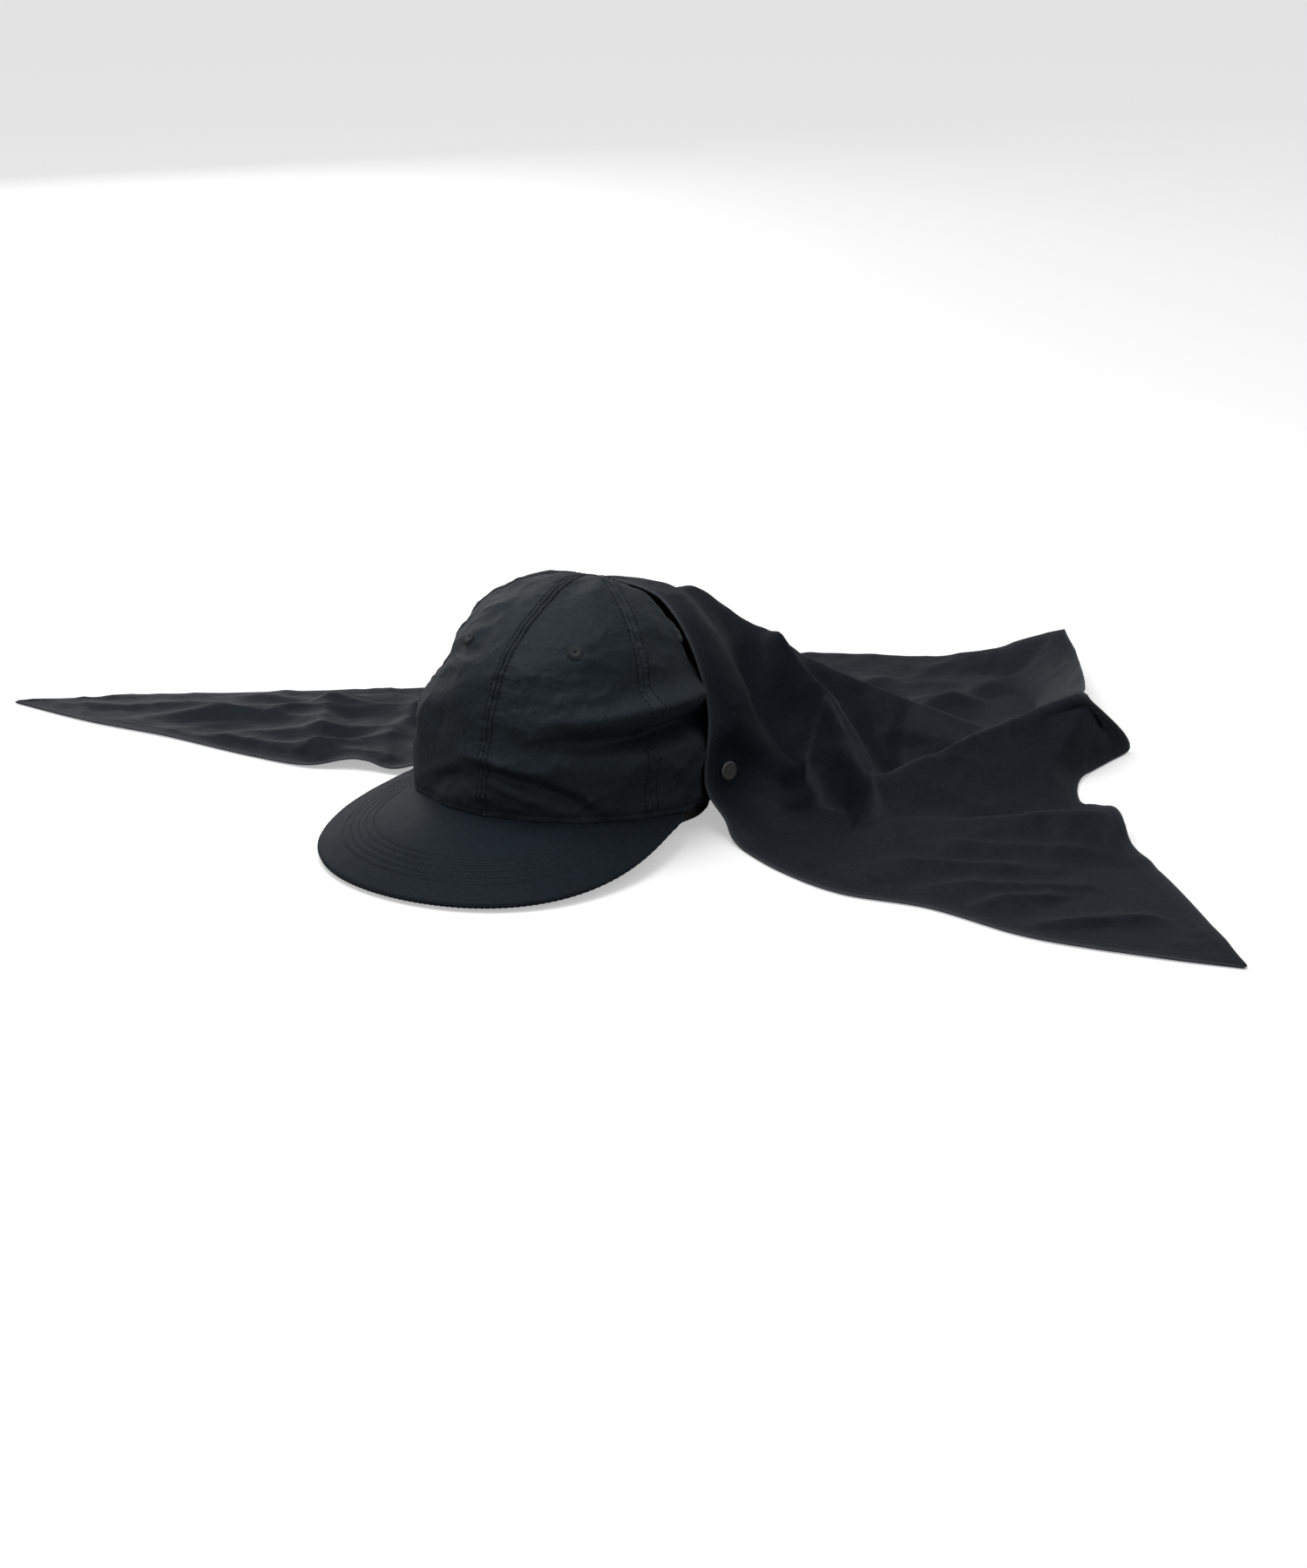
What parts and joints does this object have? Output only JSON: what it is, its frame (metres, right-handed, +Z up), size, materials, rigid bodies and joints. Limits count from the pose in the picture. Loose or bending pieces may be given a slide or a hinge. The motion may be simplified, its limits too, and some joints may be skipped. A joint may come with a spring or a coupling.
{
  "type": "cape cap",
  "caption": "Soft panelled cap with a stitched brim and a detachable triangular sun cape that snaps on over the back of the crown.",
  "frame": {"origin": "on the floor, under the middle of the cap's head opening", "axes": "+Z up, -Y out of the brim, +X towards the wearer's left side"},
  "size_m": [0.827, 0.5733, 0.1393],
  "materials": {
    "crown_fabric": "plain-woven nylon, dark blue-grey, soft sheen",
    "brim_fabric": "the same nylon stretched over the brim board",
    "cape_fabric": "thin plain-woven nylon, near-black blue, soft sheen",
    "trim_fabric": "black tricot binding",
    "board": "flexible sheet",
    "webbing": "flat woven webbing",
    "thread": "close satin stitching",
    "snap_metal": "dark lacquered metal, soft gloss",
    "keeper": "black moulded plastic"
  },
  "bodies": {
    "root": {"adjuster_strap": "webbing", "back_eyelet_left": "thread", "back_eyelet_right": "thread", "back_panel_left": "crown_fabric", "back_panel_right": "crown_fabric", "brim_board": "board", "brim_top_cover": "brim_fabric", "brim_under_cover": "brim_fabric", "cape_cloth": "cape_fabric", "front_eyelet_left": "thread", "front_eyelet_right": "thread", "front_panel_left": "crown_fabric", "front_panel_right": "crown_fabric", "front_seam_tape": "trim_fabric", "left_front_seam_tape": "trim_fabric", "left_rear_seam_tape": "trim_fabric", "rear_seam_tape": "trim_fabric", "right_front_seam_tape": "trim_fabric", "right_rear_seam_tape": "trim_fabric", "side_eyelet_left": "thread", "side_eyelet_right": "thread", "side_panel_left": "crown_fabric", "side_panel_right": "crown_fabric", "snap_post_left": "snap_metal", "snap_post_right": "snap_metal", "snap_stud_left": "snap_metal", "snap_stud_right": "snap_metal", "sweatband": "trim_fabric"},
    "snap_left": {"snap_cap_left": "snap_metal", "snap_socket_left": "snap_metal"},
    "snap_right": {"snap_cap_right": "snap_metal", "snap_socket_right": "snap_metal"},
    "keeper": {"strap_keeper": "keeper"}
  },
  "joints": [
    {"name": "snap_left_pull", "type": "slide", "parent": "root", "child": "snap_left", "axis": [0.9211, -0.3704, 0.1201], "range_m": [0, 0.008], "deforming": ["cape_cloth"]},
    {"name": "snap_right_pull", "type": "slide", "parent": "root", "child": "snap_right", "axis": [-0.9211, -0.3704, 0.1201], "range_m": [0, 0.008], "deforming": ["cape_cloth"]},
    {"name": "keeper_slide", "type": "hinge", "parent": "root", "child": "keeper", "pos_m": [0, 0.02094, 0], "axis": [0, 0, 1], "range_deg": [-10, 10]}
  ]
}
